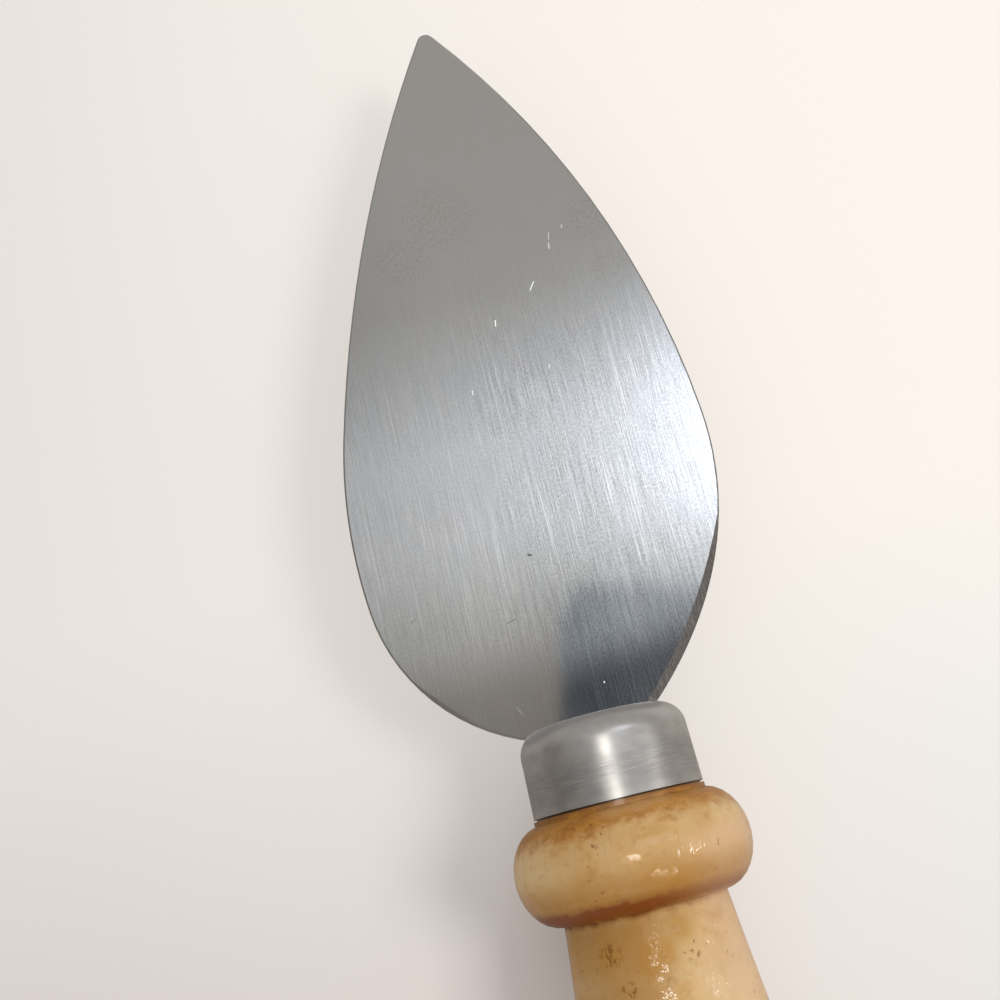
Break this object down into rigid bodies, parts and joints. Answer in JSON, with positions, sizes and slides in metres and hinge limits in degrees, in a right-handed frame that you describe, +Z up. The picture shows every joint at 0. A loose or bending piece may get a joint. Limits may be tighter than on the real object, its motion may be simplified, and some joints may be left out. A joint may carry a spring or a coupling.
{
  "type": "cheese knife",
  "caption": "Leaf-shaped hard-cheese knife with a brushed steel blade, a domed metal ferrule and a turned, varnished wooden handle.",
  "frame": {"origin": "under the middle of the knife's bounding box, on the surface that its bead rests on", "axes": "+Y along the knife, from the handle to the point; +Z up, square to the blade's upper face; +X across the blade"},
  "size_m": [0.0554, 0.2236, 0.033],
  "materials": {
    "blade_steel": "brushed along the blade",
    "ferrule_metal": "satin, with fine turning scratches",
    "varnished_wood": "glossy varnish, darker in the grooves",
    "cured_resin": "cured adhesive"
  },
  "bodies": {
    "root": {"blade": "blade_steel", "ferrule": "ferrule_metal", "handle": "varnished_wood", "tang_resin": "cured_resin"}
  },
  "joints": []
}
